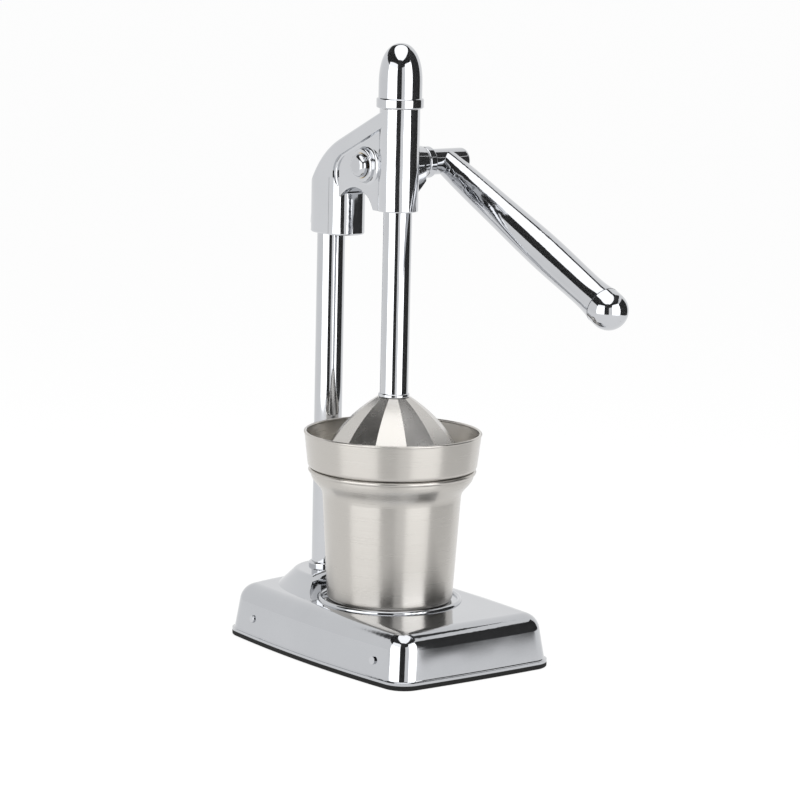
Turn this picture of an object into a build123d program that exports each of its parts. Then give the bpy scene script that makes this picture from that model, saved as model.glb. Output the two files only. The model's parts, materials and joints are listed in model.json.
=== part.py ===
"""Lever press for fruit juice: a rack and pinion in the head drives a plunger down into a strainer on a cup.

Millimetres. The origin is on the table under the plunger's axis, +Z is up, the lever points to the front
(-Y) on the right-hand side (+X), and the column stands at the rear.
"""
import math
import os

from build123d import *

os.makedirs("parts", exist_ok=True)

# Clearances
fit_gap = 0.05        # fixed pieces pushed into each other
running_gap = 0.08    # shaft and rod in their bushes
seat_gap = 0.15       # loose pieces that stand on each other
swing_gap = 0.4       # moving pieces that pass each other
cut_overrun = 3       # how far a cut runs past the material

# Base
base_width = 125
base_length = 185
base_rear_margin = 31       # column axis to the middle of the rear edge
side_bow = 4.8
front_bow = 1.3
rear_bow = 10
base_corner_radius = 14
base_top = 32
base_wall = 1.8
base_top_radius = 11
wall_draft = 8              # degrees that the side walls lean in
foot_flare = 1.2            # how far the foot flange stands out past the wall
foot_flange = 1.4
foot_cove = 1
sole_thickness = 3
sole_edge_radius = 1
plate_thickness = 1.5
plate_gap = 0.6             # plate to the inside of the wall
tab_width = 14
tab_height = 16
tab_drop = 10               # rivets' height above the tabs' lower ends, inside the plate
rivet_inset = 26            # from the ends of the sides
rivet_height = 14
rivet_shank = 3
rivet_head = 4.6
rivet_dome = 1.1
rivet_tail = 1

# Raised saddle round the column's foot
saddle_rise = 8.5
saddle_root_depth = 4       # where its flanks run out inside the base
saddle_wing_offset = 34     # before the column
saddle_shoulder_offset = 6  # behind the column
saddle_foot_margin = 25     # column axis to the rear end, at the root and at the top
saddle_top_margin = 15
saddle_front_inset = 12.5   # from the base's sides at the root
saddle_wing_inset = 8.5
saddle_shoulder_inset = 24.5
saddle_front_width = 24     # half widths at the top
saddle_wing_width = 25
saddle_shoulder_width = 18
saddle_edge_radius = 4
saddle_wall = 3
scoop_gap = 10.4            # cup's foot to the scoop in the saddle
seat_bead_gap = 4.4         # cup's foot to the bead round its seat
seat_bead_section = 1.6

# Column
column_diameter = 17
column_gap = 4.5            # strainer's rim to the column
column_stud = 10
column_stud_tail = 2
column_collar_diameter = 20.5
column_collar_height = 2.5
column_washer_diameter = 24
column_washer_thickness = 2
column_nut_width = 16
column_nut_height = 8

# Head casting, with its heights from the pinion's axis
socket_wall = 4
socket_nose = 24.5          # column axis to the front of the socket
socket_drop = 45
socket_depth = 20
socket_front_radius = 11
web_width = 20
rib_depth = 9.5
rib_edge_radius = 3
rib_root_radius = 1.2
rib_start_rise = 35        # where the rib's back line would meet the plunger axis
rib_bend_rise = 13.5
rib_bend_inset = 33.5       # from the rear of the head
pocket_drop = 20            # low end of the pocket between rib, socket and sleeve
pocket_back_drop = 10       # where the pocket reaches furthest back
sleeve_wall = 2.7
sleeve_rod_gap = 0.8
sleeve_drop = 26
sleeve_rise = 34.6
sleeve_edge_radius = 0.8
arch_inset = 11.5           # from the front of the socket
arch_drop = 34
arch_radius = 19.5
boss_root_radius = 2
casting_edge_radius = 1.2
socket_screw_diameter = 6
socket_screw_low = 6        # above the socket's lower end
socket_screw_high = 14.5
socket_screw_recess = 1.9   # the screws end under the round back
socket_screw_bite = 2.5     # depth of their holes in the column
socket_screw_hex = 3
socket_screw_hex_depth = 2

# Pinion, shaft and rack
gear_module = 1.5
gear_teeth = 16
pressure_angle = 20
gear_face = 10
gear_backlash = 0.2
rack_addendum_share = 0.8
dedendum_share = 1.25
rack_spaces_above = 2
rack_spaces_below = 11
rack_line = 6.6             # plunger axis to the rack's pitch line
pinion_height = 292
shaft_diameter = 12
shaft_tail_diameter = 9
key_width = 4
key_height = 4
key_length = 9
bush_wall = 1.5
boss_wall = 2.42
near_boss_length = 4
near_bush_length = 8
near_washer_diameter = 14.5
near_washer_thickness = 0.6
end_screw_head = 13.5
end_screw_dome = 3.2
end_screw_shank = 6
end_screw_length = 11
far_boss_length = 21
far_boss_spread = 7
far_bush_length = 20
gusset_thickness = 8
gusset_toe = 13
thrust_collar_diameter = 19
thrust_collar_length = 5.5
cavity_shift = 8.4          # how far the gear moves back to come out of the head

# Plunger
rod_diameter = 17
rod_in_cap = 22
rod_bush_wall = 1.4
rod_bush_length = 12
rod_collar_diameter = 18.6
rod_collar_height = 2.5
cap_brim_diameter = 28
cap_brim_height = 6
cap_diameter = 25.8
cap_height = 38
cap_shoulder = 14
nose_radius_shares = (0.79, 0.545)
nose_drop_shares = (0.42, 0.21)
cap_step_radius = 1

# Press cone
cone_side_gap = 7.3         # strainer's wall to the middle of a facet's rim
cone_foot_gap = 2.65        # strainer's floor to the rim
cone_height = 39
cone_facets = 12
cone_turn = 21              # of the facets from the frame's axes
cone_wall = 3
cone_roof = 5
cone_radius_shares = (0.23, 0.446, 0.62, 0.807, 0.94, 1)
cone_drop_shares = (0, 0.177, 0.356, 0.605, 0.846, 1)
cone_bolt_shank = 8
cone_bolt_length = 24
cone_bolt_width = 13
cone_bolt_head = 5.3
cone_washer_diameter = 16
cone_washer_thickness = 1.5

# Lever
lever_inset = 12.6          # hub's start to the middle of the lever
lever_dip = 25              # degrees below level
hub_diameter = 15.5
hub_length = 27
hub_end_radius = 3
lever_seam = 164            # pinion axis to the end cap
lever_radius = 11.5         # at the end cap
lever_station_shares = (0, 0.073, 0.378, 0.683, 0.866, 0.945, 1)
lever_radius_shares = (0.661, 0.722, 0.852, 0.939, 0.887, 0.904, 1)
lever_bore = 14
lever_bore_start = 30
end_cap_length = 17
end_cap_plug_length = 12
end_cap_seam_radius = 0.6
hub_screw_diameter = 5
hub_screw_inset = 7.1
hub_screw_recess = 0.5      # it ends under the hub's round side
hub_screw_hex = 2.5
hub_screw_hex_depth = 1.6

# Cup
cup_height = 79.85
cup_wall = 1
cup_foot_radius = 37.6
cup_taper = 3.9             # foot to shoulder
cup_flare = 7.5             # shoulder to rim
cup_shoulder_drop = 17
cup_rim_band = 2.5
cup_foot_fillet = 2.5
cup_lip_section = 1.3

# Strainer
bowl_overhang = 1.5         # outside the cup's rim
bowl_flare = 2.5
bowl_height = 21.35
bowl_wall = 1.2
bowl_foot_fillet = 3
bowl_lip_section = 0.9
spigot_gap = 3.5            # cup's rim to the spigot inside it
spigot_length = 6.65
spigot_ledge = 4
screen_wall = 1
screen_foot_gap = 3.5
screen_crown_radius = 6
screen_height = 31.25
screen_hole = 3.2
screen_hole_rings = 3
screen_holes_per_ring = 16

# Radii and heights that follow, from the cup outwards and upwards
cup_shoulder_radius = cup_foot_radius + cup_taper
cup_flare_radius = cup_shoulder_radius + cup_flare
bowl_foot_radius = cup_flare_radius + bowl_overhang
bowl_rim_radius = bowl_foot_radius + bowl_flare
spigot_radius = cup_flare_radius - cup_wall - spigot_gap
ledge_radius = spigot_radius - spigot_ledge
screen_foot_radius = ledge_radius - screen_foot_gap
cone_rim = bowl_foot_radius - bowl_wall - cone_side_gap
column_place = bowl_rim_radius + column_gap + column_diameter / 2
column_spot = (0, column_place)
cup_bottom = base_top + seat_gap
cup_top = cup_bottom + cup_height
bowl_foot = cup_top + seat_gap
cone_bottom = bowl_foot + bowl_wall + cone_foot_gap
rod_bottom = cone_bottom + cone_height
socket_bottom = pinion_height - socket_drop
sleeve_bottom = pinion_height - sleeve_drop
sleeve_top = pinion_height + sleeve_rise


# Base

saddle_top = base_top + saddle_rise
saddle_root = base_top - saddle_root_depth
base_rear = column_place + base_rear_margin
base_front = base_length - base_rear
front_corner = front_bow - base_front
rear_corner = base_rear - rear_bow
side_middle = (front_corner + rear_corner) / 2
corner_width = base_width - 2 * side_bow
draft = math.radians(wall_draft)
wall_lean = math.tan(draft)
rivet_place = (rear_corner - front_corner) / 2 - rivet_inset


def bow_radius(chord, bow):
    """Radius of the arc that rises by a bow over a chord."""
    return chord ** 2 / (8 * bow) + bow / 2


side_radius = bow_radius(rear_corner - front_corner, side_bow)
front_radius = bow_radius(corner_width, front_bow)
rear_radius = bow_radius(corner_width, rear_bow)


def bowed_outline(inset, height=0):
    """The base's bowed rectangle: four large discs in common, with round corners, drawn in by an inset.

    At a height above the sole the leaning walls draw it in further, with the same corners.
    """
    drawn_in = inset + wall_lean * height
    side_centre = side_radius - base_width / 2
    with BuildSketch() as outline:
        with Locations((side_centre, side_middle)):
            Circle(side_radius - drawn_in)
        with Locations((-side_centre, side_middle)):
            Circle(side_radius - drawn_in, mode=Mode.INTERSECT)
        with Locations((0, front_radius - base_front)):
            Circle(front_radius - drawn_in, mode=Mode.INTERSECT)
        with Locations((0, base_rear - rear_radius)):
            Circle(rear_radius - drawn_in, mode=Mode.INTERSECT)
        fillet(outline.vertices(), base_corner_radius - inset)
    return outline.sketch


def saddle_outline(level, inset):
    """The saddle's outline at its root or its top, drawn in by an inset."""
    front, wing, shoulder, rear = saddle_sizes[level]
    stations = [(front, 0), (wing, column_place - saddle_wing_offset),
                (shoulder, column_place + saddle_shoulder_offset)]
    left = [(inset - width, place) for width, place in stations]
    right = [(width - inset, place) for width, place in reversed(stations)]
    with BuildSketch() as outline:
        with BuildLine():
            Spline(*left, (0, rear - inset), *right)
            Line(right[-1], left[0])
        make_face()
    return outline.sketch


def rivet_planes(depth):
    """Planes square to the leaning side walls at the four rivets, a depth inside the wall's outer face."""
    wall_radius = side_radius - foot_flare - wall_lean * (rivet_height - sole_thickness)
    reach = wall_radius - depth * math.cos(draft)
    planes = []
    for side in (-1, 1):
        for place in (-rivet_place, rivet_place):
            swing = math.asin(place / wall_radius)
            out_x, out_y = side * math.cos(swing), math.sin(swing)
            origin = (side * (base_width / 2 - side_radius) + reach * out_x, side_middle + reach * out_y,
                      rivet_height - depth * math.sin(draft))
            out = (out_x * math.cos(draft), out_y * math.cos(draft), math.sin(draft))
            planes.append(Plane(origin=origin, x_dir=(-out_y, out_x, 0), z_dir=out))
    return planes


half_width = base_width / 2
saddle_sizes = {
    "root": (half_width - saddle_front_inset, half_width - saddle_wing_inset,
             half_width - saddle_shoulder_inset, column_place + saddle_foot_margin),
    "top": (saddle_front_width, saddle_wing_width, saddle_shoulder_width, column_place + saddle_top_margin),
}
scoop_radius = cup_foot_radius + scoop_gap

with BuildPart() as base_hollow:
    with BuildSketch(Plane.XY.offset(sole_thickness)):
        add(bowed_outline(foot_flare + base_wall))
    with BuildSketch(Plane.XY.offset(base_top - base_wall)):
        add(bowed_outline(foot_flare + base_wall, base_top - base_wall - sole_thickness))
    loft(ruled=True)
    fillet(base_hollow.edges().group_by(Axis.Z)[-1], base_top_radius - base_wall)
    with BuildSketch(Plane.XY.offset(saddle_root)):
        add(saddle_outline("root", saddle_wall))
    with BuildSketch(Plane.XY.offset(saddle_top - saddle_wall)):
        add(saddle_outline("top", saddle_wall))
    loft(ruled=True)
    with BuildSketch(Plane.XY.offset(base_top - base_wall)):
        Circle(scoop_radius + saddle_wall)
    extrude(amount=saddle_top, mode=Mode.SUBTRACT)

with BuildPart() as base_shell:
    with BuildSketch(Plane.XY.offset(sole_thickness)):
        add(bowed_outline(foot_flare))
    with BuildSketch(Plane.XY.offset(base_top)):
        add(bowed_outline(foot_flare, base_top - sole_thickness))
    loft(ruled=True)
    fillet(base_shell.edges().group_by(Axis.Z)[-1], base_top_radius)
    with BuildSketch(Plane.XY.offset(sole_thickness)):
        add(bowed_outline(0))
    extrude(amount=foot_flange)
    flange_top = sole_thickness + foot_flange
    flange_face = base_shell.faces().filter_by(Axis.Z).filter_by_position(Axis.Z, flange_top, flange_top)[0]
    fillet(flange_face.inner_wires()[0].edges(), foot_cove)
    with BuildSketch(Plane.XY.offset(saddle_root)):
        add(saddle_outline("root", 0))
    with BuildSketch(Plane.XY.offset(saddle_top)):
        add(saddle_outline("top", 0))
    loft(ruled=True)
    with BuildSketch(Plane.XY.offset(base_top)):
        Circle(scoop_radius)
    extrude(amount=saddle_top, mode=Mode.SUBTRACT)
    fillet(base_shell.edges().group_by(Axis.Z)[-1], saddle_edge_radius)
    with BuildSketch(Plane.XZ):
        with Locations((cup_foot_radius + seat_bead_gap, base_top)):
            Circle(seat_bead_section)
    revolve(axis=Axis.Z)
    add(base_hollow.part, mode=Mode.SUBTRACT)
    with BuildSketch(Plane.XY.offset(saddle_top)):
        with Locations(column_spot):
            Circle(column_stud / 2 + fit_gap)
    extrude(amount=-saddle_wall - cut_overrun, mode=Mode.SUBTRACT)
    for plane in rivet_planes(0):
        with BuildSketch(plane):
            Circle(rivet_shank / 2 + fit_gap)
        extrude(amount=base_wall + cut_overrun, both=True, mode=Mode.SUBTRACT)

with BuildPart() as rubber_sole:
    with BuildSketch():
        add(bowed_outline(0))
    extrude(amount=sole_thickness)
    fillet(rubber_sole.edges().group_by(Axis.Z)[0], sole_edge_radius)

tab_depth = base_wall + 2 * fit_gap + plate_thickness
with BuildPart() as base_plate:
    with BuildSketch(Plane.XY.offset(sole_thickness)):
        add(bowed_outline(foot_flare + base_wall + plate_gap))
    extrude(amount=plate_thickness)
    for plane in rivet_planes(tab_depth):
        with BuildSketch(plane):
            with Locations((0, tab_height / 2 - tab_drop)):
                Rectangle(tab_width, tab_height)
        extrude(amount=plate_thickness)
        with BuildSketch(plane):
            Circle(rivet_shank / 2 + fit_gap)
        extrude(amount=plate_thickness + cut_overrun, both=True, mode=Mode.SUBTRACT)

with BuildPart() as base_rivets:
    for head_plane, tail_plane in zip(rivet_planes(-fit_gap), rivet_planes(tab_depth + fit_gap)):
        with BuildSketch(head_plane):
            Circle(rivet_head / 2)
        extrude(amount=rivet_dome)
        with BuildSketch(head_plane):
            Circle(rivet_shank / 2)
        extrude(amount=-tab_depth - 2 * fit_gap)
        with BuildSketch(tail_plane):
            Circle(rivet_head / 2)
        extrude(amount=-rivet_tail)
    fillet(base_rivets.edges().filter_by(GeomType.CIRCLE).group_by(SortBy.DISTANCE)[-1], rivet_dome / 2)

# Column

column_top = socket_bottom + socket_depth - fit_gap
column_stud_length = saddle_wall + column_washer_thickness + column_nut_height + column_stud_tail
socket_screw_heights = (socket_bottom + socket_screw_low, socket_bottom + socket_screw_high)
with BuildPart() as column:
    with BuildSketch(Plane.XY.offset(saddle_top)):
        with Locations(column_spot):
            Circle(column_diameter / 2)
    extrude(amount=column_top - saddle_top)
    with BuildSketch(Plane.XY.offset(saddle_top)):
        with Locations(column_spot):
            Circle(column_stud / 2)
    extrude(amount=-column_stud_length)
    drill_end = column_place + column_diameter / 2 - socket_screw_bite - fit_gap
    for height in socket_screw_heights:
        with BuildSketch(Plane(origin=(0, drill_end, height), z_dir=(0, 1, 0))):
            Circle(socket_screw_diameter / 2 + fit_gap)
        extrude(amount=socket_screw_bite + cut_overrun, mode=Mode.SUBTRACT)

with BuildPart() as column_collar:
    with BuildSketch(Plane.XY.offset(saddle_top)):
        with Locations(column_spot):
            Circle(column_collar_diameter / 2)
            Circle(column_diameter / 2 + fit_gap, mode=Mode.SUBTRACT)
    extrude(amount=column_collar_height)
    fillet(column_collar.edges().group_by(Axis.Z)[-1].sort_by(SortBy.LENGTH)[-1], column_collar_height / 2)

washer_top = saddle_top - saddle_wall
with BuildPart() as column_washer:
    with BuildSketch(Plane.XY.offset(washer_top)):
        with Locations(column_spot):
            Circle(column_washer_diameter / 2)
            Circle(column_stud / 2 + fit_gap, mode=Mode.SUBTRACT)
    extrude(amount=-column_washer_thickness)

with BuildPart() as column_nut:
    with BuildSketch(Plane.XY.offset(washer_top - column_washer_thickness)):
        with Locations(column_spot):
            RegularPolygon(column_nut_width / 2, 6, major_radius=False)
            Circle(column_stud / 2 + fit_gap, mode=Mode.SUBTRACT)
    extrude(amount=-column_nut_height)

# Head casting

head_width = column_diameter + 2 * socket_wall
head_rear = column_place + head_width / 2
socket_front = column_place - socket_nose
sleeve_bore = rod_diameter + 2 * sleeve_rod_gap
sleeve_diameter = sleeve_bore + 2 * sleeve_wall
socket_front_width = sleeve_diameter + (head_width - sleeve_diameter) * socket_front / column_place
rib_start_height = pinion_height + rib_start_rise
rib_bend_height = pinion_height + rib_bend_rise
rib_bend_place = head_rear - rib_bend_inset
pocket_end = (socket_front, pinion_height - pocket_drop)
rib_slope = math.atan2(rib_start_height - rib_bend_height, rib_bend_place)
rib_radius = (head_rear - rib_bend_place) / (1 - math.sin(rib_slope))
rib_centre = (head_rear - rib_radius, rib_bend_height - rib_radius * math.cos(rib_slope))
bush_diameter = shaft_diameter + 2 * (running_gap + bush_wall)
rod_bush_diameter = rod_diameter + 2 * (running_gap + rod_bush_wall)
rod_bush_hole = rod_bush_diameter + 2 * fit_gap
socket_screw_hole = socket_screw_diameter + 2 * fit_gap
gear_pitch_radius = gear_module * gear_teeth / 2
gear_tip_radius = gear_pitch_radius + gear_module
cavity_radius = gear_tip_radius + 2 * swing_gap
cavity_width = gear_face + 2 * swing_gap
pinion_place = rack_line + gear_pitch_radius
boss_diameter = bush_diameter + 2 * boss_wall
near_boss_face = web_width / 2 + near_boss_length
far_boss_face = web_width / 2 + far_boss_length
rib_front = -sleeve_diameter / 4


def rib_point(turn, depth):
    """A point at a depth under the rib's round back, at a turn from straight up."""
    reach = rib_radius - depth
    return (rib_centre[0] + reach * math.sin(turn), rib_centre[1] + reach * math.cos(turn))


def rib_start(depth):
    """The front end of the rib's straight back line, inside the sleeve, at a depth under the line."""
    return (rib_front, rib_start_height - rib_front * math.tan(rib_slope) - depth / math.cos(rib_slope))


def rib_back(depth):
    """Draw the rib's back line and its bend at a depth under its surface."""
    bend_middle = (rib_slope + math.pi / 2) / 2
    Line(rib_start(depth), rib_point(rib_slope, depth))
    ThreePointArc(rib_point(rib_slope, depth), rib_point(bend_middle, depth), rib_point(math.pi / 2, depth))


def disc(plane, diameter):
    """A round section on a plane."""
    with BuildSketch(plane) as section:
        Circle(diameter / 2)
    return section.sketch


def across(x):
    """The plane square to the pinion's axis at a place along it, with Y and Z as its axes."""
    return Plane(origin=(x, pinion_place, pinion_height), x_dir=(0, 1, 0), z_dir=(1, 0, 0))


def level(height, spot=(0, 0)):
    """The level plane at a height, centred on a spot."""
    return Plane.XY.offset(height).shift_origin((*spot, height))


def behind(place, height):
    """The upright plane that faces the rear, at a place and a height."""
    return Plane(origin=(0, place, height), z_dir=(0, 1, 0))


with BuildPart() as head_casting:
    # Rib and socket, with a round back
    with BuildSketch(Plane.YZ):
        with BuildLine():
            rib_back(0)
            Polyline(rib_point(math.pi / 2, 0), (head_rear, socket_bottom), (socket_front, socket_bottom),
                     pocket_end)
            rib_under = Line(rib_start(rib_depth), rib_point(rib_slope, rib_depth))
            TangentArc(rib_under @ 1, pocket_end, tangent=rib_under % 1)
            Line(rib_start(rib_depth), rib_start(0))
        make_face()
    extrude(amount=head_width / 2, both=True)
    fillet(head_casting.edges().filter_by(GeomType.CIRCLE).group_by(SortBy.LENGTH)[-1], rib_edge_radius)
    # From above, the head tapers from the socket's width to the sleeve's and is round behind the column
    with BuildSketch(Plane.XY.offset(socket_bottom)):
        Circle(sleeve_diameter / 2)
        with Locations(column_spot):
            Circle(head_width / 2)
        make_hull()
    extrude(amount=sleeve_top - socket_bottom, mode=Mode.INTERSECT)
    # The socket's front is nearly a half round, up to the depth of the pocket
    with BuildSketch(level(socket_bottom)):
        with Locations((0, socket_front)):
            Rectangle(head_width, socket_front_radius, align=(Align.CENTER, Align.MIN))
            RectangleRounded(socket_front_width, column_place, socket_front_radius,
                             align=(Align.CENTER, Align.MIN), mode=Mode.SUBTRACT)
    extrude(amount=pinion_height - pocket_back_drop - socket_bottom, mode=Mode.SUBTRACT)
    fillet(head_casting.edges().group_by(Axis.Z)[0], casting_edge_radius)
    # Thin web between sleeve and socket, arched underneath
    with BuildSketch(Plane.YZ):
        with BuildLine():
            rib_back(rib_depth / 2)
            Polyline(rib_point(math.pi / 2, rib_depth / 2), (column_place, sleeve_bottom),
                     (rib_front, sleeve_bottom), rib_start(rib_depth / 2))
        make_face()
        with Locations((socket_front - arch_inset, pinion_height - arch_drop)):
            Circle(arch_radius, mode=Mode.SUBTRACT)
    extrude(amount=web_width / 2, both=True)
    # The rib and the socket run softly into the web
    for web_side in (-web_width / 2, web_width / 2):
        pocket_lines = head_casting.edges().filter_by_position(Axis.X, web_side, web_side)
        pocket_lines = pocket_lines.filter_by_position(Axis.Y, 0, head_rear)
        pocket_lines = pocket_lines.filter_by_position(Axis.Z, pinion_height - pocket_back_drop, sleeve_top)
        fillet(pocket_lines, rib_root_radius)
    # Sleeve of the plunger rod
    with BuildSketch(Plane.XY.offset(sleeve_bottom)):
        Circle(sleeve_diameter / 2)
    extrude(amount=sleeve_top - sleeve_bottom)
    # Bosses of the pinion shaft, and the gusset under the long one
    with BuildSketch(across(0)):
        Circle(boss_diameter / 2)
    extrude(amount=-near_boss_face)
    web_arcs = head_casting.edges().filter_by(GeomType.CIRCLE)
    web_arcs = web_arcs.filter_by_position(Axis.X, -web_width / 2, -web_width / 2)
    fillet(web_arcs.sort_by(SortBy.LENGTH)[-1], boss_root_radius)
    with BuildSketch(across(0)):
        Circle((boss_diameter + far_boss_spread) / 2)
    with BuildSketch(across(far_boss_face)):
        Circle(boss_diameter / 2)
    loft()
    with BuildSketch(Plane.XZ.offset(-sleeve_diameter / 2)):
        with BuildLine():
            Polyline((0, sleeve_bottom), (gusset_toe, sleeve_bottom),
                     (far_boss_face - gusset_thickness / 2, pinion_height - boss_diameter / 2),
                     (far_boss_face - gusset_thickness / 2, pinion_height), (0, pinion_height), close=True)
        make_face()
    extrude(amount=gusset_thickness / 2, both=True)
    # Cast edges are soft
    for boss_face in (-near_boss_face, far_boss_face):
        boss_ends = head_casting.edges().filter_by(GeomType.CIRCLE)
        fillet(boss_ends.filter_by_position(Axis.X, boss_face, boss_face), casting_edge_radius)
    arcs = head_casting.edges().filter_by(GeomType.CIRCLE)
    fillet(arcs.filter_by(lambda arc: abs(arc.radius - arch_radius) < fit_gap), casting_edge_radius)
    sleeve_foot = head_casting.edges().filter_by(GeomType.CIRCLE)
    fillet(sleeve_foot.filter_by_position(Axis.Z, sleeve_bottom, sleeve_bottom), sleeve_edge_radius)
    # Bores and the gear's cavity, open at the bottom
    extrude(disc(level(sleeve_bottom), sleeve_bore), amount=sleeve_top, mode=Mode.SUBTRACT)
    extrude(disc(level(sleeve_bottom), rod_bush_hole), amount=rod_bush_length, mode=Mode.SUBTRACT)
    extrude(disc(level(sleeve_top), rod_bush_hole), amount=-rod_bush_length, mode=Mode.SUBTRACT)
    extrude(disc(level(socket_bottom, column_spot), column_diameter + 2 * fit_gap), amount=socket_depth,
            mode=Mode.SUBTRACT)
    extrude(disc(across(-near_boss_face), bush_diameter + 2 * fit_gap),
            amount=near_boss_face + far_boss_face, mode=Mode.SUBTRACT)
    with BuildSketch(across(-cavity_width / 2)):
        with Locations((cavity_shift / 2, 0)):
            SlotCenterToCenter(cavity_shift, 2 * cavity_radius)
        with Locations((cavity_shift, sleeve_bottom - pinion_height)):
            Rectangle(2 * cavity_radius, pinion_height - sleeve_bottom, align=(Align.CENTER, Align.MIN))
    extrude(amount=cavity_width, mode=Mode.SUBTRACT)
    for height in socket_screw_heights:
        extrude(disc(behind(column_place, height), socket_screw_hole), amount=head_width, mode=Mode.SUBTRACT)

# Grub screws that clamp the socket, with their points in drilled holes of the column
screw_end = head_rear - socket_screw_recess
screw_point = column_place + column_diameter / 2 - socket_screw_bite
with BuildPart() as socket_screws:
    for height in socket_screw_heights:
        with BuildSketch(behind(screw_point, height)):
            Circle(socket_screw_diameter / 2)
        extrude(amount=screw_end - screw_point)
        with BuildSketch(behind(screw_end, height)):
            RegularPolygon(socket_screw_hex / 2, 6, major_radius=False)
        extrude(amount=-socket_screw_hex_depth, mode=Mode.SUBTRACT)

with BuildPart() as rod_bushes:
    for height in (sleeve_bottom, sleeve_top - rod_bush_length):
        with BuildSketch(Plane.XY.offset(height)):
            Circle(rod_bush_diameter / 2)
            Circle(rod_diameter / 2 + running_gap, mode=Mode.SUBTRACT)
        extrude(amount=rod_bush_length)

with BuildPart() as near_shaft_bush:
    with BuildSketch(across(-near_boss_face)):
        Circle(bush_diameter / 2)
        Circle(shaft_diameter / 2 + running_gap, mode=Mode.SUBTRACT)
    extrude(amount=near_bush_length)

with BuildPart() as far_shaft_bush:
    with BuildSketch(across(far_boss_face)):
        Circle(bush_diameter / 2)
        Circle(shaft_diameter / 2 + running_gap, mode=Mode.SUBTRACT)
    extrude(amount=-far_bush_length)

# Pinion gear on its shaft

tooth_pitch = math.pi * gear_module
base_radius = gear_pitch_radius * math.cos(math.radians(pressure_angle))
root_radius = gear_pitch_radius - dedendum_share * gear_module


def involute(angle):
    return math.tan(angle) - angle


def tooth_half_angle(radius):
    """Half the angle that a tooth fills at a radius, on its involute flank."""
    at_pitch = (tooth_pitch - gear_backlash) / (4 * gear_pitch_radius)
    rolled = math.acos(min(1, base_radius / radius))
    return at_pitch + involute(math.radians(pressure_angle)) - involute(rolled)


def tooth_point(radius, middle, side):
    """A flank point of the tooth whose middle lies at an angle."""
    angle = middle + side * tooth_half_angle(max(radius, base_radius))
    return (radius * math.cos(angle), radius * math.sin(angle))


shaft_end = near_boss_face + swing_gap
collar_start = far_boss_face + swing_gap
hub_start = collar_start + thrust_collar_length
hub_bore_end = hub_start + hub_length - hub_end_radius - fit_gap
tooth_foot = root_radius - fit_gap

with BuildPart() as pinion_gear:
    with BuildSketch(across(-gear_face / 2)):
        Circle(root_radius)
        for tooth in range(gear_teeth):
            middle = math.pi + tooth * 2 * math.pi / gear_teeth
            with BuildLine():
                for side in (-1, 1):
                    Line(tooth_point(tooth_foot, middle, side), tooth_point(base_radius, middle, side))
                    ThreePointArc(tooth_point(base_radius, middle, side),
                                  tooth_point(gear_pitch_radius, middle, side),
                                  tooth_point(gear_tip_radius, middle, side))
                Line(tooth_point(gear_tip_radius, middle, -1), tooth_point(gear_tip_radius, middle, 1))
                Line(tooth_point(tooth_foot, middle, -1), tooth_point(tooth_foot, middle, 1))
            make_face()
        Circle(shaft_diameter / 2 + fit_gap, mode=Mode.SUBTRACT)
        with Locations((0, shaft_diameter / 2)):
            Rectangle(key_width + 2 * fit_gap, key_height + 2 * fit_gap, mode=Mode.SUBTRACT)
    extrude(amount=gear_face)

with BuildPart() as pinion_key:
    with BuildSketch(across(-key_length / 2)):
        with Locations((0, shaft_diameter / 2)):
            Rectangle(key_width, key_height)
    extrude(amount=key_length)

with BuildPart() as pinion_shaft:
    with BuildSketch(across(-shaft_end)):
        Circle(shaft_diameter / 2)
    extrude(amount=shaft_end + hub_start - fit_gap)
    with BuildSketch(across(hub_start - fit_gap)):
        Circle(shaft_tail_diameter / 2)
    extrude(amount=hub_bore_end - hub_start)
    extrude(disc(across(-shaft_end), end_screw_shank + 2 * fit_gap), amount=end_screw_length,
            mode=Mode.SUBTRACT)
    with BuildSketch(across(-key_length / 2 - fit_gap)):
        with Locations((0, shaft_diameter / 2)):
            Rectangle(key_width + 2 * fit_gap, key_height + 2 * fit_gap)
    extrude(amount=key_length + 2 * fit_gap, mode=Mode.SUBTRACT)

with BuildPart() as shaft_washer:
    with BuildSketch(across(-shaft_end)):
        Circle(near_washer_diameter / 2)
        Circle(end_screw_shank / 2 + fit_gap, mode=Mode.SUBTRACT)
    extrude(amount=-near_washer_thickness)

with BuildPart() as shaft_end_screw:
    with BuildSketch(across(-shaft_end - near_washer_thickness)):
        Circle(end_screw_head / 2)
    extrude(amount=-end_screw_dome)
    fillet(shaft_end_screw.edges().group_by(Axis.X)[0], end_screw_dome - fit_gap)
    with BuildSketch(across(-shaft_end - near_washer_thickness)):
        Circle(end_screw_shank / 2)
    extrude(amount=end_screw_length)

with BuildPart() as thrust_collar:
    with BuildSketch(across(collar_start)):
        Circle(thrust_collar_diameter / 2)
        Circle(shaft_diameter / 2 + fit_gap, mode=Mode.SUBTRACT)
    extrude(amount=thrust_collar_length - fit_gap)
    fillet(thrust_collar.edges().group_by(SortBy.LENGTH)[-1], thrust_collar_length / 6)

# Lever

dip = math.radians(lever_dip)
lever_way = (0, -math.cos(dip), -math.sin(dip))
lever_root = (hub_start + lever_inset, pinion_place, pinion_height)
lever_end = lever_seam + end_cap_length
lever_plane = Plane(origin=lever_root, x_dir=lever_way, z_dir=(1, 0, 0))
lever_axis = Axis(lever_root, lever_way)


def along_lever(distance):
    """The plane square to the lever at a distance from the pinion's axis."""
    origin = [start + distance * way for start, way in zip(lever_root, lever_way)]
    return Plane(origin=origin, z_dir=lever_way)


def hub_side(distance):
    """The plane across the hub screw, at a distance behind the pinion's axis."""
    origin = (hub_start + hub_screw_inset, pinion_place + distance, pinion_height)
    return Plane(origin=origin, z_dir=(0, 1, 0))


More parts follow.
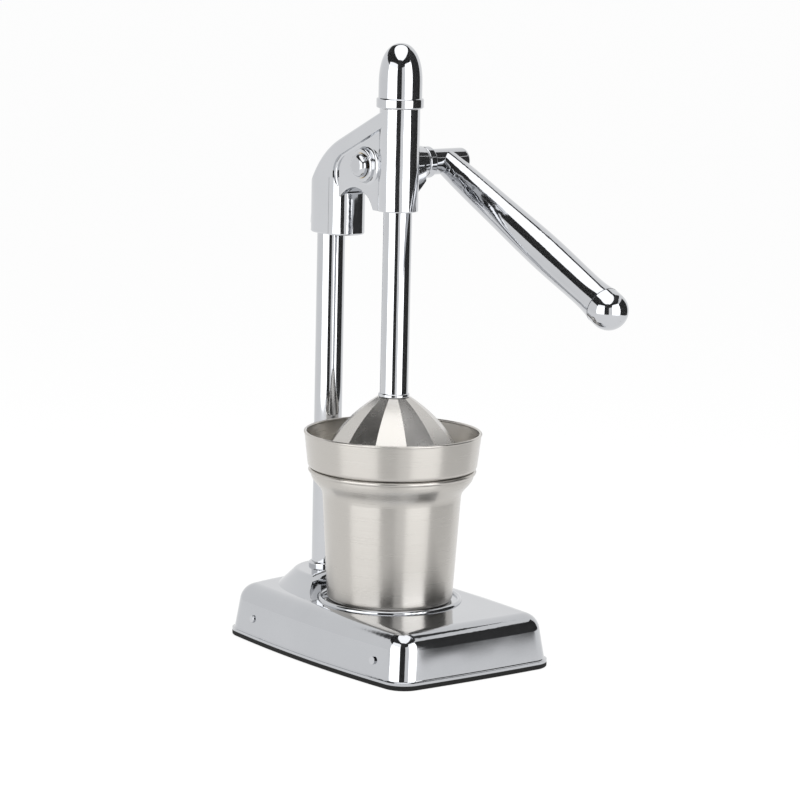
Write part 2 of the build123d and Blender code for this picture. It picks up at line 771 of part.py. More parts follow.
with BuildPart() as lever_arm:
    with BuildSketch(across(hub_start)):
        Circle(hub_diameter / 2)
    extrude(amount=hub_length)
    fillet(lever_arm.edges().group_by(Axis.X)[-1], hub_end_radius)
    with BuildSketch(lever_plane):
        with BuildLine():
            grip = Spline(*[(lever_seam * along, lever_radius * out)
                            for along, out in zip(lever_station_shares, lever_radius_shares)])
            Polyline(grip @ 1, (lever_seam, 0), (0, 0), grip @ 0)
        make_face()
    revolve(axis=lever_axis)
    extrude(disc(along_lever(lever_seam), lever_bore), amount=lever_bore_start - lever_seam,
            mode=Mode.SUBTRACT)
    extrude(disc(across(hub_start), shaft_tail_diameter + 2 * fit_gap),
            amount=hub_bore_end + fit_gap - hub_start, mode=Mode.SUBTRACT)
    extrude(disc(hub_side(0), hub_screw_diameter + 2 * fit_gap), amount=hub_diameter, mode=Mode.SUBTRACT)

with BuildPart() as lever_end_cap:
    with BuildSketch(lever_plane):
        with BuildLine():
            seam = lever_seam + fit_gap
            bend = lever_end - lever_radius
            bend_middle = (bend + lever_radius * math.sin(math.pi / 4), lever_radius * math.cos(math.pi / 4))
            Polyline((seam, 0), (seam, lever_radius), (bend, lever_radius))
            ThreePointArc((bend, lever_radius), bend_middle, (lever_end, 0))
            Line((lever_end, 0), (seam, 0))
        make_face()
    revolve(axis=lever_axis)
    seam_edges = lever_end_cap.edges().filter_by(GeomType.CIRCLE).group_by(SortBy.LENGTH)[-1]
    fillet(seam_edges.sort_by(lever_axis)[0], end_cap_seam_radius)
    with BuildSketch(along_lever(lever_seam + fit_gap)):
        Circle(lever_bore / 2 - fit_gap)
    extrude(amount=-end_cap_plug_length)

hub_screw_end = hub_diameter / 2 - hub_screw_recess
with BuildPart() as hub_screw:
    with BuildSketch(hub_side(shaft_tail_diameter / 2 + fit_gap)):
        Circle(hub_screw_diameter / 2)
    extrude(amount=hub_screw_end - shaft_tail_diameter / 2 - fit_gap)
    with BuildSketch(hub_side(hub_screw_end)):
        RegularPolygon(hub_screw_hex / 2, 6, major_radius=False)
    extrude(amount=-hub_screw_hex_depth, mode=Mode.SUBTRACT)

# Plunger

collar_top = rod_bottom + rod_collar_height
cap_bottom = sleeve_top + swing_gap
rod_top = cap_bottom + rod_in_cap
rack_tip = rack_line + rack_addendum_share * gear_module
rack_root = rack_line - dedendum_share * gear_module
rack_outside = rod_diameter / 2 + cut_overrun
flank_slope = math.tan(math.radians(pressure_angle))
cone_roof_bottom = rod_bottom - cone_roof
bolt_top = cone_roof_bottom - cone_washer_thickness + cone_bolt_length


def rack_space(middle):
    """Corners of one gap between two rack teeth."""
    at_line = (tooth_pitch + gear_backlash) / 4
    at_root = at_line - (rack_line - rack_root) * flank_slope
    at_outside = at_line + (rack_outside - rack_line) * flank_slope
    return [(rack_root, middle - at_root), (rack_root, middle + at_root),
            (rack_outside, middle + at_outside), (rack_outside, middle - at_outside)]


with BuildPart() as plunger_rod:
    with BuildSketch(Plane.XY.offset(collar_top)):
        Circle(rod_diameter / 2)
    extrude(amount=rod_top - collar_top)
    with BuildSketch(Plane.YZ):
        for space in range(-rack_spaces_below, rack_spaces_above + 1):
            with BuildLine():
                Polyline(*rack_space(pinion_height + space * tooth_pitch), close=True)
            make_face()
        rack_middle = (rack_spaces_above - rack_spaces_below) / 2
        with Locations((rack_tip, pinion_height + rack_middle * tooth_pitch)):
            Rectangle(rack_outside, (rack_spaces_above + rack_spaces_below + 1) * tooth_pitch,
                      align=(Align.MIN, Align.CENTER))
    extrude(amount=rod_diameter, both=True, mode=Mode.SUBTRACT)
    extrude(disc(level(collar_top), cone_bolt_shank + 2 * fit_gap), amount=bolt_top + fit_gap - collar_top,
            mode=Mode.SUBTRACT)

with BuildPart() as rod_collar:
    with BuildSketch(Plane.XY.offset(rod_bottom)):
        Circle(rod_collar_diameter / 2)
        Circle(cone_bolt_shank / 2 + fit_gap, mode=Mode.SUBTRACT)
    extrude(amount=rod_collar_height)
    fillet(rod_collar.edges().group_by(SortBy.LENGTH)[-1], rod_collar_height / 3)

brim_radius = cap_brim_diameter / 2
brim_top = cap_bottom + cap_brim_height
shoulder = (cap_diameter / 2, cap_bottom + cap_shoulder)
apex = (0, cap_bottom + cap_height)
nose = [(cap_diameter / 2 * out, apex[1] - (cap_height - cap_shoulder) * drop)
        for out, drop in zip(nose_radius_shares, nose_drop_shares)]
with BuildPart() as top_cap:
    with BuildSketch(Plane.XZ) as cap_profile:
        with BuildLine():
            Polyline((0, cap_bottom), (brim_radius, cap_bottom), (brim_radius, brim_top),
                     (cap_diameter / 2, brim_top), shoulder)
            Spline(shoulder, *nose, apex, tangents=((0, 1), (-1, 0)))
            Line(apex, (0, cap_bottom))
        make_face()
        brim_corners = cap_profile.vertices().filter_by_position(Axis.X, brim_radius, brim_radius)
        fillet(brim_corners, cap_step_radius)
    revolve(axis=Axis.Z)
    extrude(disc(level(cap_bottom), rod_diameter + 2 * fit_gap), amount=rod_top + fit_gap - cap_bottom,
            mode=Mode.SUBTRACT)

# Press cone, a dome of flat-sided facets with a hollow underside


def dome_line(rim, top, bottom):
    """Points of the dome's profile from its crown to its rim."""
    return [(rim * out, top - (top - bottom) * drop)
            for out, drop in zip(cone_radius_shares, cone_drop_shares)]


def dome_section(plane, rim, top, bottom, both_sides):
    """The dome's profile on a plane, one half of it or the whole width."""
    right = dome_line(rim, top, bottom)
    left = [(-x, z) for x, z in right]
    with BuildSketch(plane) as section:
        with BuildLine():
            Spline(*right)
            if both_sides:
                Line(right[0], left[0])
                Spline(*left)
                Line(left[-1], right[-1])
            else:
                Polyline(right[0], (0, top), (0, bottom), right[-1])
        make_face()
    return section.sketch


def facet_plane(facet):
    """The upright plane square to one pair of facets."""
    turn = math.radians(cone_turn) + facet * 2 * math.pi / cone_facets
    return Plane(origin=(0, 0, 0), x_dir=(math.cos(turn), math.sin(turn), 0),
                 z_dir=(math.sin(turn), -math.cos(turn), 0))


with BuildPart() as press_cone:
    for facet in range(cone_facets // 2):
        extrude(dome_section(facet_plane(facet), cone_rim, rod_bottom, cone_bottom, True),
                amount=2 * cone_rim, both=True, mode=Mode.INTERSECT if facet else Mode.ADD)
    revolve(dome_section(Plane.XZ, cone_rim - cone_wall, cone_roof_bottom, cone_bottom, False),
            axis=Axis.Z, mode=Mode.SUBTRACT)
    extrude(disc(level(rod_bottom), cone_bolt_shank + 2 * fit_gap), amount=-cone_roof - cut_overrun,
            mode=Mode.SUBTRACT)

with BuildPart() as cone_washer:
    with BuildSketch(Plane.XY.offset(cone_roof_bottom)):
        Circle(cone_washer_diameter / 2)
        Circle(cone_bolt_shank / 2 + fit_gap, mode=Mode.SUBTRACT)
    extrude(amount=-cone_washer_thickness)

with BuildPart() as cone_bolt:
    with BuildSketch(Plane.XY.offset(cone_roof_bottom - cone_washer_thickness)):
        RegularPolygon(cone_bolt_width / 2, 6, major_radius=False)
    extrude(amount=-cone_bolt_head)
    with BuildSketch(Plane.XY.offset(cone_roof_bottom - cone_washer_thickness)):
        Circle(cone_bolt_shank / 2)
    extrude(amount=cone_bolt_length)

# Cup


def cup_section(inset, foot):
    """Half of the cup's outline to its axis, drawn in by an inset."""
    wall_end = (cup_shoulder_radius - inset, cup_top - cup_shoulder_drop)
    flare = (cup_flare_radius - inset, cup_top - cup_rim_band)
    wall_way = (cup_taper, cup_height - cup_shoulder_drop)
    with BuildSketch(Plane.XZ) as section:
        with BuildLine():
            Polyline((0, cup_top), (0, foot), (cup_foot_radius - inset, foot), wall_end)
            Spline(wall_end, flare, tangents=(wall_way, wall_way))
            Polyline(flare, (flare[0], cup_top), (0, cup_top))
        make_face()
    return section.sketch


with BuildPart() as cup:
    revolve(cup_section(0, cup_bottom), axis=Axis.Z)
    fillet(cup.edges().group_by(Axis.Z)[0], cup_foot_fillet)
    with BuildSketch(Plane.XZ):
        with Locations((cup_flare_radius, cup_top - cup_lip_section)):
            Circle(cup_lip_section)
    revolve(axis=Axis.Z)
    revolve(cup_section(cup_wall, cup_bottom + cup_wall), axis=Axis.Z, mode=Mode.SUBTRACT)

# Strainer bowl with its perforated cone

bowl_top = bowl_foot + bowl_height
spigot_bottom = bowl_foot - spigot_length
ledge_top = spigot_bottom + bowl_wall

with BuildPart() as strainer_bowl:
    with BuildSketch(Plane.XZ) as bowl_section:
        with BuildLine():
            Polyline((bowl_rim_radius, bowl_top), (bowl_foot_radius, bowl_foot),
                     (spigot_radius, bowl_foot), (spigot_radius, spigot_bottom),
                     (ledge_radius, spigot_bottom), (ledge_radius, ledge_top),
                     (spigot_radius - bowl_wall, ledge_top),
                     (spigot_radius - bowl_wall, bowl_foot + bowl_wall),
                     (bowl_foot_radius - bowl_wall, bowl_foot + bowl_wall),
                     (bowl_rim_radius - bowl_wall, bowl_top), close=True)
        make_face()
        corners = bowl_section.vertices().filter_by_position(Axis.X, bowl_foot_radius, bowl_foot_radius)
        fillet(corners, bowl_foot_fillet)
    revolve(axis=Axis.Z)
    with BuildSketch(Plane.XZ):
        with Locations((bowl_rim_radius - bowl_wall / 2, bowl_top)):
            Circle(bowl_lip_section)
    revolve(axis=Axis.Z)

screen_foot = ledge_top + fit_gap
screen_top = screen_foot + screen_height
screen_rim = spigot_radius - bowl_wall - 2 * fit_gap
with BuildPart() as strainer_screen:
    with BuildSketch(Plane.XZ):
        with BuildLine():
            Polyline((screen_rim, screen_foot), (screen_rim, screen_foot + screen_wall),
                     (screen_foot_radius, screen_foot + screen_wall), (screen_crown_radius, screen_top),
                     (0, screen_top), (0, screen_top - screen_wall),
                     (screen_crown_radius - screen_wall, screen_top - screen_wall),
                     (screen_foot_radius - screen_wall, screen_foot), close=True)
        make_face()
    revolve(axis=Axis.Z)
    ring_step = (screen_foot_radius - screen_crown_radius) / (screen_hole_rings + 1)
    for ring in range(1, screen_hole_rings + 1):
        with BuildSketch(Plane.XY.offset(screen_foot)):
            with PolarLocations(screen_crown_radius + ring * ring_step, screen_holes_per_ring):
                Circle(screen_hole / 2)
        extrude(amount=screen_top, mode=Mode.SUBTRACT)

for piece, label in (
    (base_shell, "base_shell"),
    (rubber_sole, "rubber_sole"),
    (base_plate, "base_plate"),
    (base_rivets, "base_rivets"),
    (column, "column"),
    (column_collar, "column_collar"),
    (column_washer, "column_washer"),
    (column_nut, "column_nut"),
    (head_casting, "head_casting"),
    (socket_screws, "socket_screws"),
    (rod_bushes, "rod_bushes"),
    (near_shaft_bush, "near_shaft_bush"),
    (far_shaft_bush, "far_shaft_bush"),
    (pinion_gear, "pinion_gear"),
    (pinion_key, "pinion_key"),
    (pinion_shaft, "pinion_shaft"),
    (shaft_washer, "shaft_washer"),
    (shaft_end_screw, "shaft_end_screw"),
    (thrust_collar, "thrust_collar"),
    (lever_arm, "lever_arm"),
    (lever_end_cap, "lever_end_cap"),
    (hub_screw, "hub_screw"),
    (plunger_rod, "plunger_rod"),
    (rod_collar, "rod_collar"),
    (top_cap, "top_cap"),
    (press_cone, "press_cone"),
    (cone_washer, "cone_washer"),
    (cone_bolt, "cone_bolt"),
    (cup, "cup"),
    (strainer_bowl, "strainer_bowl"),
    (strainer_screen, "strainer_screen"),
):
    piece.part.label = label
    export_step(piece.part, f"parts/{label}.step")
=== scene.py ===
"""Looks of the lever juice press: chromed stand, lever and plunger, satin steel cup and strainer."""
import json
import math

import bpy
from mathutils import Matrix, Vector


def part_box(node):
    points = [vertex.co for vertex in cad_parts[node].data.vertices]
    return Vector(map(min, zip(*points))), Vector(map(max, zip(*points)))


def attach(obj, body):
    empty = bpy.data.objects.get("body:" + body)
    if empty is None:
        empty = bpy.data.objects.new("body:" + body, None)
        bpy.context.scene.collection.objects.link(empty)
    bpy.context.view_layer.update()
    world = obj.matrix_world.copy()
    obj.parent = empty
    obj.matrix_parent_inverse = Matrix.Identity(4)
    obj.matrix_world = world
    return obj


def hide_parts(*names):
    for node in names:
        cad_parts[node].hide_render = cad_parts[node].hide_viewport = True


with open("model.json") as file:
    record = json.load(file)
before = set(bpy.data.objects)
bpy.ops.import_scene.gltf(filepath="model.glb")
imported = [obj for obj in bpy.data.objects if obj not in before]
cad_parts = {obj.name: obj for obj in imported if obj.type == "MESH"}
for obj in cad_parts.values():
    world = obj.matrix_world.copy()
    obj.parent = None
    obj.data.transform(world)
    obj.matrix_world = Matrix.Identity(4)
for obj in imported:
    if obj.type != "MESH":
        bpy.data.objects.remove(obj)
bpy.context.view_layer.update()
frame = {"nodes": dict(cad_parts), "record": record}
nodes = frame["nodes"]

# Camera, fitted to the stated height, length and width of the press
image_width = 800
camera_azimuth = math.radians(-37.52)
camera_dip = math.radians(9.59)
camera_roll = math.radians(1.25)
camera_lens = 148.43
camera_distance = 1.9618
camera_sensor = 36
aim_height = 0.1825
aim_pixel = (394.8, 351.0)

# Middle range of a noise, which a finish stretches to its own range
noise_low = 0.3
noise_high = 0.7

# Bullet cap
turned_sides = 128
crease_angle = 35
cap_body_radius = 0.0129
cap_brim_height = 0.006
cap_edge_radius = 0.001
cap_edge_rings = 6
cap_bore_radius = 0.00855
cap_bore_depth = 0.022
nose_length = 0.024
nose_rings = 40
nose_tip_radius = cap_body_radius / nose_rings ** 2
nose_power_across = 2.2     # two would be an ellipse, more is fuller
nose_power_along = 2.4

# Studio, with panels named by their turn round the press from the camera's side
panel_distance = 0.8
panel_height = 0.75
right_card_high = 0.75
ceiling_height = 0.95
ceiling_radius = 1.3
ceiling_right = -0.35       # of its middle, as seen by the camera
ceiling_reach = 0.65        # of its middle towards the camera
cap_card_distance = 0.38
cap_card_low = 0.55
cap_card_high = 0.77
nose_card_low = 0.52
nose_card_high = 0.82
card_grey = 0.02
top_light_height = 0.93
top_light_width = 0.8
top_light_length = 1.3      # along the camera's view
top_light_reach = 0.24      # of its middle towards the camera
top_light_strength = 1.8
world_light = 0.95          # on the press
world_white = 1             # where the background itself is seen
floor_size = 40
floor_grey = 0.9
floor_roughness = 0.9
floor_glow_share = 0.85     # the rest of what the camera sees of the floor takes the shadow


# Finishes

def new_finish(name):
    """A new material that has only its output and its main shader."""
    material = bpy.data.materials.new(name)
    material.use_nodes = True
    tree = material.node_tree
    tree.nodes.clear()
    output = tree.nodes.new("ShaderNodeOutputMaterial")
    shader = tree.nodes.new("ShaderNodeBsdfPrincipled")
    tree.links.new(shader.outputs["BSDF"], output.inputs["Surface"])
    return material, shader


def noise(tree, scale, detail=3, stretch=(1, 1, 1)):
    """A noise texture on the piece's own coordinates, stretched along its axes."""
    place = tree.nodes.new("ShaderNodeTexCoord")
    mapping = tree.nodes.new("ShaderNodeMapping")
    mapping.inputs["Scale"].default_value = stretch
    texture = tree.nodes.new("ShaderNodeTexNoise")
    texture.inputs["Scale"].default_value = scale
    texture.inputs["Detail"].default_value = detail
    tree.links.new(place.outputs["Object"], mapping.inputs["Vector"])
    tree.links.new(mapping.outputs["Vector"], texture.inputs["Vector"])
    return texture.outputs["Fac"]


def spread(tree, value, low, high):
    """Map a noise value from its middle range to a low and a high value."""
    ramp = tree.nodes.new("ShaderNodeMapRange")
    ramp.inputs["From Min"].default_value = noise_low
    ramp.inputs["From Max"].default_value = noise_high
    ramp.inputs["To Min"].default_value = low
    ramp.inputs["To Max"].default_value = high
    tree.links.new(value, ramp.inputs["Value"])
    return ramp.outputs["Result"]


def tint(tree, value, dark, light):
    """A colour between a dark and a light one."""
    ramp = tree.nodes.new("ShaderNodeValToRGB")
    ramp.color_ramp.elements[0].color = (*dark, 1)
    ramp.color_ramp.elements[1].color = (*light, 1)
    tree.links.new(value, ramp.inputs["Fac"])
    return ramp.outputs["Color"]


def roughen(tree, shader, value, strength, depth):
    """Fine relief from a noise value."""
    bump = tree.nodes.new("ShaderNodeBump")
    bump.inputs["Strength"].default_value = strength
    bump.inputs["Distance"].default_value = depth
    tree.links.new(value, bump.inputs["Height"])
    tree.links.new(bump.outputs["Normal"], shader.inputs["Normal"])


def metal(name, dark, light, rough_low, rough_high, grain, relief=None):
    """A bare metal with a faint cloud in its colour and polish, and a relief where one is given."""
    material, shader = new_finish(name)
    tree = material.node_tree
    cloud = noise(tree, grain)
    tree.links.new(tint(tree, cloud, dark, light), shader.inputs["Base Color"])
    tree.links.new(spread(tree, cloud, rough_low, rough_high), shader.inputs["Roughness"])
    shader.inputs["Metallic"].default_value = 1
    if relief:
        uneven = noise(tree, relief["scale"], relief["detail"])
        roughen(tree, shader, uneven, relief["strength"], relief["depth"])
    return material


def polished_chrome():
    """Chrome of the column, the lever, the rod and the other turned pieces."""
    return metal("polished_chrome", dark=(0.52, 0.53, 0.55), light=(0.58, 0.59, 0.61),
                 rough_low=0.03, rough_high=0.07, grain=35)


def cast_chrome():
    """Chrome over a cast and buffed surface that still rolls a little."""
    return metal("cast_chrome", dark=(0.56, 0.57, 0.59), light=(0.63, 0.64, 0.66),
                 rough_low=0.05, rough_high=0.1, grain=28,
                 relief={"scale": 90, "detail": 1, "strength": 0.12, "depth": 0.0008})


def pressed_chrome_painted_shade():
    """Chrome over pressed sheet, whose broad faces are not quite flat. Its tint is darker than the
    other chromes: painted shade standing in for the grey surroundings the base reflects.
    """
    # Darker tint than the other chromes: painted shade for the base's grey surroundings
    return metal("pressed_chrome_painted_shade", dark=(0.47, 0.48, 0.5), light=(0.53, 0.54, 0.56),
                 rough_low=0.05, rough_high=0.1, grain=28,
                 relief={"scale": 30, "detail": 1, "strength": 0.08, "depth": 0.001})


def brushed_stainless():
    """Satin steel, turned on a lathe: fine lines run round the axis."""
    material, shader = new_finish("brushed_stainless")
    tree = material.node_tree
    lines = noise(tree, scale=2600, detail=2, stretch=(0.008, 0.008, 1))
    colour = tint(tree, lines, dark=(0.51, 0.49, 0.46), light=(0.56, 0.54, 0.51))
    tree.links.new(colour, shader.inputs["Base Color"])
    tree.links.new(spread(tree, lines, low=0.27, high=0.32), shader.inputs["Roughness"])
    shader.inputs["Metallic"].default_value = 1
    shader.inputs["Anisotropic"].default_value = 0.9
    shader.inputs["Anisotropic Rotation"].default_value = 0.25
    tangent = tree.nodes.new("ShaderNodeTangent")
    tangent.direction_type = "RADIAL"
    tangent.axis = "Z"
    tree.links.new(tangent.outputs["Tangent"], shader.inputs["Tangent"])
    roughen(tree, shader, lines, strength=0.02, depth=0.0001)
    return material


def polished_stainless():
    """Steel of the press cone, ground and polished."""
    return metal("polished_stainless", dark=(0.52, 0.5, 0.475), light=(0.6, 0.585, 0.56),
                 rough_low=0.24, rough_high=0.3, grain=60)


def machined_steel():
    """Bare steel of the gear, the shaft, the screws and the washers."""
    return metal("machined_steel", dark=(0.4, 0.4, 0.41), light=(0.52, 0.52, 0.53),
                 rough_low=0.22, rough_high=0.36, grain=200,
                 relief={"scale": 900, "detail": 3, "strength": 0.1, "depth": 0.0002})


def bearing_brass():
    """Brass of the bushes."""
    return metal("bearing_brass", dark=(0.6, 0.44, 0.19), light=(0.7, 0.54, 0.27),
                 rough_low=0.2, rough_high=0.32, grain=150)


def sole_rubber():
    """Dull black rubber under the base."""
    material, shader = new_finish("sole_rubber")
    tree = material.node_tree
    grain = noise(tree, scale=1400, detail=4)
    colour = tint(tree, grain, dark=(0.005, 0.005, 0.005), light=(0.015, 0.015, 0.015))
    tree.links.new(colour, shader.inputs["Base Color"])
    tree.links.new(spread(tree, grain, low=0.55, high=0.75), shader.inputs["Roughness"])
    shader.inputs["Specular IOR Level"].default_value = 0.15
    roughen(tree, shader, grain, strength=0.25, depth=0.0004)
    return material


finishes = {
    "chrome": polished_chrome(),
    "stainless": brushed_stainless(),
    "steel": machined_steel(),
    "bearing_brass": bearing_brass(),
    "sole_rubber": sole_rubber(),
}
own_finishes = {
    "head_casting": cast_chrome(),
    # The base's chrome carries painted shade in its darker tint
    "base_shell": pressed_chrome_painted_shade(),
    "press_cone": polished_stainless(),
}
for subpart in frame["record"]["subparts"]:
    piece = nodes[subpart["node"]]
    finish = own_finishes.get(subpart["node"], finishes[subpart["material_slot"]])
    piece.data.materials.clear()
    piece.data.materials.append(finish)


# Bullet cap on the rod's end, with a fuller nose

def turned_piece(name, outline):
    """A turned piece: a round floor, drawn on ring by ring along its outline to a closed tip."""
    radius, height = outline[0]
    bpy.ops.object.select_all(action="DESELECT")
    bpy.ops.mesh.primitive_circle_add(vertices=turned_sides, radius=radius, fill_type="NGON",
                                      location=(0, 0, height))
    piece = bpy.context.object
    piece.name = name
    bpy.ops.object.transform_apply(location=True, rotation=True, scale=True)
    bpy.ops.object.mode_set(mode="EDIT")
    bpy.ops.mesh.select_all(action="SELECT")
    for next_radius, next_height in outline[1:]:
        bpy.ops.mesh.extrude_edges_move(TRANSFORM_OT_translate={"value": (0, 0, next_height - height)})
        growth = next_radius / radius
        bpy.ops.transform.resize(value=(growth, growth, 1), center_override=(0, 0, next_height))
        radius, height = next_radius, next_height
    bpy.ops.mesh.merge(type="CENTER")
    bpy.ops.mesh.select_all(action="SELECT")
    bpy.ops.mesh.normals_make_consistent(inside=False)
    bpy.ops.object.mode_set(mode="OBJECT")
    bpy.ops.object.shade_smooth_by_angle(angle=math.radians(crease_angle))
    return piece


def quarter_round(start_degrees, middle_radius, middle_height):
    """Outline of a rounded edge, a quarter turn from a start angle."""
    points = []
    for ring in range(cap_edge_rings + 1):
        turn = math.radians(start_degrees + 90 * ring / cap_edge_rings)
        points.append((middle_radius + cap_edge_radius * math.cos(turn),
                       middle_height + cap_edge_radius * math.sin(turn)))
    return points


def nose_outline(nose_bottom):
    """Outline of the nose, from the cap's straight side to just before its tip."""
    points = []
    for ring in range(nose_rings):
        turn = math.pi / 2 * ring / nose_rings
        points.append((cap_body_radius * math.cos(turn) ** (2 / nose_power_across),
                       nose_bottom + nose_length * math.sin(turn) ** (2 / nose_power_along)))
    return points


cap_low, cap_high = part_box("top_cap")
cap_bottom, cap_top = cap_low[2], cap_high[2]
brim_radius = (cap_high[0] - cap_low[0]) / 2
brim_top = cap_bottom + cap_brim_height
cap_outline = [(cap_bore_radius, cap_bottom + cap_bore_depth), (cap_bore_radius, cap_bottom)]
cap_outline += quarter_round(-90, brim_radius - cap_edge_radius, cap_bottom + cap_edge_radius)
cap_outline += quarter_round(0, brim_radius - cap_edge_radius, brim_top - cap_edge_radius)
cap_outline.append((cap_body_radius, brim_top))
cap_outline += nose_outline(cap_top - nose_length)
cap_outline.append((nose_tip_radius, cap_top))
bullet_cap = turned_piece("bullet_cap", cap_outline)
bullet_cap.data.materials.append(finishes["chrome"])
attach(bullet_cap, "plunger")
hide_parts("top_cap")

# Camera

side = Vector((math.cos(camera_azimuth), math.sin(camera_azimuth), 0))
forward = Vector((-math.sin(camera_azimuth) * math.cos(camera_dip),
                  math.cos(camera_azimuth) * math.cos(camera_dip), -math.sin(camera_dip)))
above = side.cross(forward)
focal_pixels = camera_lens / camera_sensor * image_width
aim_right = (aim_pixel[0] - image_width / 2) / focal_pixels * camera_distance
aim_up = (image_width / 2 - aim_pixel[1]) / focal_pixels * camera_distance
roll_cos, roll_sin = math.cos(camera_roll), math.sin(camera_roll)
shift_side = aim_right * roll_cos - aim_up * roll_sin
shift_above = aim_right * roll_sin + aim_up * roll_cos
aim = Vector((0, 0, aim_height))
camera_place = aim - forward * camera_distance - side * shift_side - above * shift_above
right_axis = side * roll_cos + above * roll_sin
up_axis = above * roll_cos - side * roll_sin
camera_turn = Matrix((right_axis, up_axis, -forward)).transposed()
bpy.ops.object.select_all(action="DESELECT")
bpy.ops.object.camera_add(location=camera_place)
camera = bpy.context.object
camera.name = "photo_camera"
camera.matrix_world = Matrix.Translation(camera_place) @ camera_turn.to_4x4()
camera.data.lens = camera_lens
camera.data.sensor_width = camera_sensor
camera.data.sensor_fit = "HORIZONTAL"
bpy.context.scene.camera = camera

# Softboxes and dark cards

towards_camera = Vector((-forward.x, -forward.y, 0)).normalized()


def studio_place(turn_degrees, distance, height):
    """A place round the press, by its turn from the camera's side, positive to the right."""
    turn = math.radians(turn_degrees)
    way = towards_camera * math.cos(turn) + side * math.sin(turn)
    return way * distance + Vector((0, 0, height))


def facing_press(turn_degrees):
    """Rotation that points a panel's or lamp's back axis away from the press."""
    way = studio_place(turn_degrees, 1, 0)
    return way.to_track_quat("Z", "Y").to_euler()


def panel_width(span_degrees, distance):
    """Width of an upright panel that fills a span of the turn round the press."""
    return 2 * distance * math.tan(math.radians(span_degrees) / 2)


def softbox(name, turn_degrees, span_degrees, strength):
    """A tall soft lamp with an even radiance."""
    width = panel_width(span_degrees, panel_distance)
    place = studio_place(turn_degrees, panel_distance, panel_height / 2)
    bpy.ops.object.light_add(type="AREA", location=place, rotation=facing_press(turn_degrees))
    lamp = bpy.context.object
    lamp.name = name
    lamp.data.shape = "RECTANGLE"
    lamp.data.size = width
    lamp.data.size_y = panel_height
    lamp.data.energy = strength * math.pi * width * panel_height
    lamp.visible_camera = False


def card_finish():
    """Dull black of the cards."""
    material, shader = new_finish("black_card")
    shader.inputs["Base Color"].default_value = (card_grey, card_grey, card_grey, 1)
    shader.inputs["Roughness"].default_value = 1
    return material


black_card = card_finish()


def show_in_metal_only(card):
    """Make a card black and keep it out of all but the reflections in polished metal."""
    card.data.materials.append(black_card)
    card.visible_camera = False
    card.visible_shadow = False
    card.visible_diffuse = False


def dark_card(name, turn_degrees, span_degrees, low=0, high=ceiling_height, distance=panel_distance):
    """An upright black card that fills a span of the turn round the press."""
    place = studio_place(turn_degrees, distance, (low + high) / 2)
    bpy.ops.mesh.primitive_plane_add(size=1, location=place, rotation=facing_press(turn_degrees))
    card = bpy.context.object
    card.name = name
    card.scale = (panel_width(span_degrees, distance), high - low, 1)
    show_in_metal_only(card)


softbox("softbox_left", turn_degrees=-44, span_degrees=52, strength=1.7)
softbox("softbox_right", turn_degrees=44.5, span_degrees=41, strength=1.9)
dark_card("card_middle", turn_degrees=-5.5, span_degrees=25)
dark_card("card_right", turn_degrees=94, span_degrees=58, high=right_card_high)
dark_card("card_nose", turn_degrees=94, span_degrees=58,
          low=nose_card_low, high=nose_card_high, distance=cap_card_distance)
dark_card("card_cap", turn_degrees=-135, span_degrees=50,
          low=cap_card_low, high=cap_card_high, distance=cap_card_distance)

# Dark ceiling and the light under it

ceiling_place = studio_place(0, ceiling_reach, ceiling_height) + side * ceiling_right
bpy.ops.mesh.primitive_circle_add(radius=ceiling_radius, fill_type="NGON", location=ceiling_place)
ceiling = bpy.context.object
ceiling.name = "ceiling_card"
show_in_metal_only(ceiling)

bpy.ops.object.light_add(type="AREA", location=studio_place(0, top_light_reach, top_light_height),
                         rotation=(0, 0, camera_azimuth))
top_light = bpy.context.object
top_light.name = "top_light"
top_light.data.shape = "ELLIPSE"
top_light.data.size = top_light_width
top_light.data.size_y = top_light_length
top_light.data.energy = top_light_strength * math.pi * math.pi * top_light_width * top_light_length / 4
top_light.visible_camera = False


# White background and floor

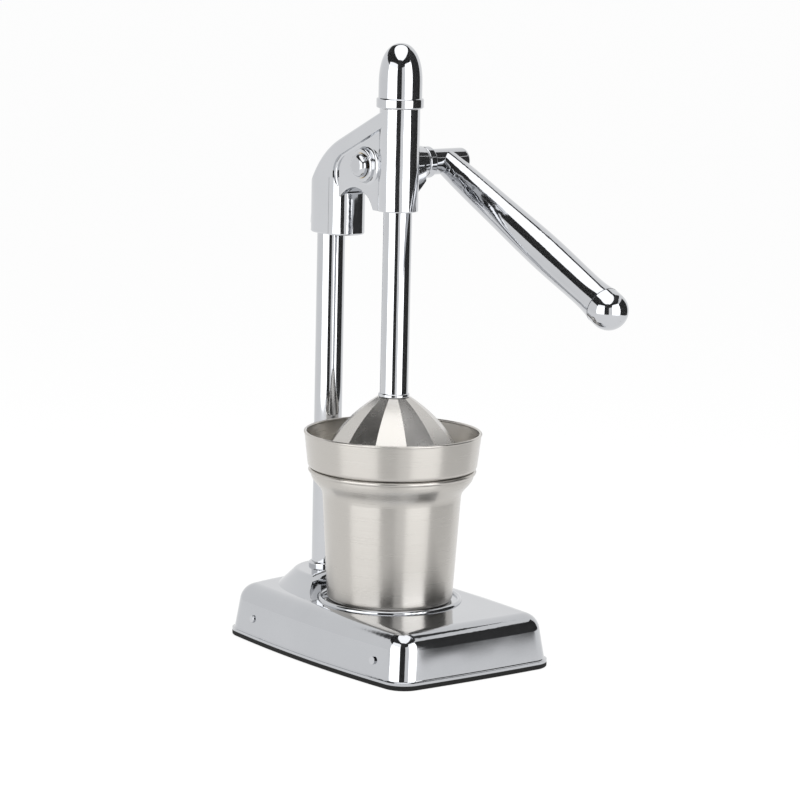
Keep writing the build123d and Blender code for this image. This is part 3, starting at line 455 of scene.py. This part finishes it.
def background_rays(tree):
    """One for rays that see the background straight, in a reflection or through glass, else zero."""
    path = tree.nodes.new("ShaderNodeLightPath")
    seen_or_mirrored = tree.nodes.new("ShaderNodeMath")
    seen_or_mirrored.operation = "MAXIMUM"
    tree.links.new(path.outputs["Is Camera Ray"], seen_or_mirrored.inputs[0])
    tree.links.new(path.outputs["Is Glossy Ray"], seen_or_mirrored.inputs[1])
    any_ray = tree.nodes.new("ShaderNodeMath")
    any_ray.operation = "MAXIMUM"
    tree.links.new(seen_or_mirrored.outputs["Value"], any_ray.inputs[0])
    tree.links.new(path.outputs["Is Transmission Ray"], any_ray.inputs[1])
    return any_ray.outputs["Value"]


world = bpy.data.worlds.new("white_studio")
bpy.context.scene.world = world
world.use_nodes = True
world_tree = world.node_tree
world_background = world_tree.nodes["Background"]
world_background.inputs["Color"].default_value = (1, 1, 1, 1)
world_strength = world_tree.nodes.new("ShaderNodeMapRange")
world_strength.inputs["To Min"].default_value = world_light
world_strength.inputs["To Max"].default_value = world_white
world_tree.links.new(background_rays(world_tree), world_strength.inputs["Value"])
world_tree.links.new(world_strength.outputs["Result"], world_background.inputs["Strength"])

floor_finish, floor_shader = new_finish("pale_floor")
floor_tree = floor_finish.node_tree
floor_shader.inputs["Base Color"].default_value = (floor_grey, floor_grey, floor_grey, 1)
floor_shader.inputs["Roughness"].default_value = floor_roughness
floor_glow = floor_tree.nodes.new("ShaderNodeEmission")
floor_share = floor_tree.nodes.new("ShaderNodeMath")
floor_share.operation = "MULTIPLY"
floor_share.inputs[1].default_value = floor_glow_share
floor_mix = floor_tree.nodes.new("ShaderNodeMixShader")
floor_tree.links.new(background_rays(floor_tree), floor_share.inputs[0])
floor_tree.links.new(floor_share.outputs["Value"], floor_mix.inputs["Fac"])
floor_tree.links.new(floor_shader.outputs["BSDF"], floor_mix.inputs[1])
floor_tree.links.new(floor_glow.outputs["Emission"], floor_mix.inputs[2])
floor_tree.links.new(floor_mix.outputs["Shader"], floor_tree.nodes["Material Output"].inputs["Surface"])
bpy.ops.mesh.primitive_plane_add(size=floor_size, location=(0, 0, 0))
floor = bpy.context.object
floor.name = "floor"
floor.data.materials.append(floor_finish)

bpy.context.scene.view_settings.view_transform = "Standard"
